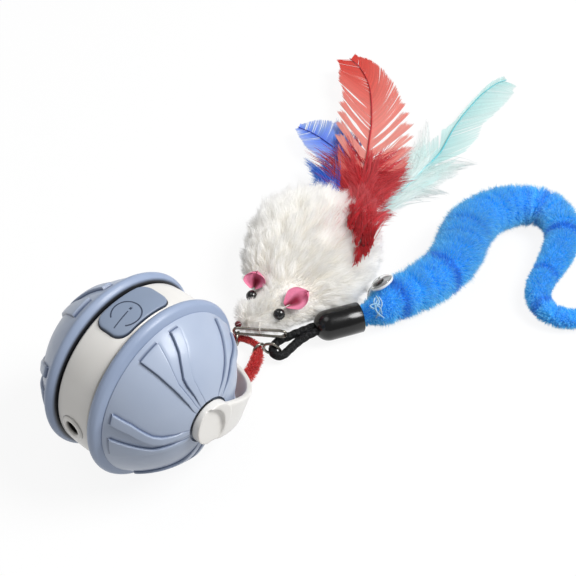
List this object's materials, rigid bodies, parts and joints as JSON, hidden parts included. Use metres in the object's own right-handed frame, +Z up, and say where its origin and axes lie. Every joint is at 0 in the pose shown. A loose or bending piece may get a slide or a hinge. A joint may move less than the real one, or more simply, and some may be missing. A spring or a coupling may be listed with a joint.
{
  "type": "automatic rolling ball pet toy",
  "caption": "Two-wheeled self-rolling ball toy with a white trailing bail that drags a fluffy blue worm tail and a stuffed feathered mouse.",
  "frame": {"origin": "middle of the whole toy's footprint, on the floor under the tyres", "axes": "+X from the ball back along the bail to the tail's end and the feathers, +Y along the axle from the near wheel to the far wheel, +Z up"},
  "size_m": [0.2954, 0.1818, 0.0647],
  "materials": {
    "shell": "glossy grey-blue moulded plastic",
    "tyre": "satin grey-blue rolling ring",
    "band": "semi-gloss warm white plastic",
    "drum": "plain moulded plastic",
    "button": "satin grey-blue plastic",
    "steel": "bright plated steel",
    "gear": "natural acetal",
    "circuit": "green circuit board",
    "black_plastic": "black moulded plastic",
    "cell": "foil-wrapped cell",
    "red_cord": "fuzzy red cord",
    "black_cord": "braided black cord",
    "cap": "glossy black cap",
    "plush": "fluffy bright blue plush",
    "eye": "clear dome over a white disc",
    "fur": "soft white fur",
    "ear": "pink felt",
    "bead": "black glass-like bead",
    "nose": "dark red knot",
    "red_feather": "dyed red feather",
    "blue_feather": "dyed blue feather",
    "aqua_feather": "dyed pale aqua feather"
  },
  "bodies": {
    "chassis": {"near_drum_half": "drum", "far_drum_half": "drum", "centre_band": "band", "port_ring": "band", "charge_jack": "black_plastic", "circuit_board": "circuit", "tact_switch": "black_plastic", "battery": "cell", "near_gear_motor": "steel", "far_gear_motor": "steel", "drum_screw_1": "steel", "drum_screw_2": "steel", "drum_screw_3": "steel", "drum_screw_4": "steel", "near_wheel_retainer": "steel", "far_wheel_retainer": "steel"},
    "button": {"power_button": "button"},
    "near_wheel": {"near_dome": "shell", "near_tyre": "tyre", "near_ring_gear": "gear"},
    "far_wheel": {"far_dome": "shell", "far_tyre": "tyre", "far_ring_gear": "gear"},
    "near_drive": {"near_pinion": "steel"},
    "far_drive": {"far_pinion": "steel"},
    "drag_bail": {"bail": "band", "red_loop": "red_cord"},
    "tail": {"lower_clasp": "steel", "black_loop": "black_cord", "tail_cap": "cap", "fluffy_tail": "plush", "upper_tail_eye": "eye", "lower_tail_eye": "eye"},
    "mouse": {"upper_clasp": "steel", "mouse_thread": "fur", "mouse_body": "fur", "mouse_head": "fur", "left_mouse_ear": "ear", "right_mouse_ear": "ear", "left_mouse_eye": "bead", "right_mouse_eye": "bead", "mouse_nose": "nose", "red_feather": "red_feather", "blue_feather": "blue_feather", "aqua_feather": "aqua_feather"}
  },
  "joints": [
    {"name": "button_press", "type": "slide", "parent": "chassis", "child": "button", "axis": [0, 0, -1], "range_m": [0, 0.0006], "stiffness_N_per_m": 800},
    {"name": "near_wheel_spin", "type": "hinge", "parent": "chassis", "child": "near_wheel", "pos_m": [-0.11538, 0.00417, 0.03234], "axis": [0, 1, 0], "continuous": true},
    {"name": "far_wheel_spin", "type": "hinge", "parent": "chassis", "child": "far_wheel", "pos_m": [-0.11538, 0.00417, 0.03234], "axis": [0, 1, 0], "continuous": true},
    {"name": "near_pinion_spin", "type": "hinge", "parent": "chassis", "child": "near_drive", "pos_m": [-0.12158, 0.00417, 0.02399], "axis": [0, 1, 0], "continuous": true},
    {"name": "far_pinion_spin", "type": "hinge", "parent": "chassis", "child": "far_drive", "pos_m": [-0.10918, 0.00417, 0.02399], "axis": [0, 1, 0], "continuous": true},
    {"name": "bail_swing", "type": "hinge", "parent": "chassis", "child": "drag_bail", "pos_m": [-0.11538, 0.00417, 0.03234], "axis": [0, -1, 0], "range_deg": [-4, 124.5]},
    {"name": "tail_swing", "type": "hinge", "parent": "drag_bail", "child": "tail", "pos_m": [-0.06238, -0.00053, 0.00394], "axis": [0, 0, 1], "range_deg": [-45, 0.5]},
    {"name": "mouse_swing", "type": "hinge", "parent": "drag_bail", "child": "mouse", "pos_m": [-0.06338, 0.00917, 0.00399], "axis": [0, 0, 1], "range_deg": [0, 45]}
  ],
  "couplings": [
    {"joint": "near_pinion_spin", "follows": "near_wheel_spin", "ratio": 3.6},
    {"joint": "far_pinion_spin", "follows": "far_wheel_spin", "ratio": 3.6}
  ]
}
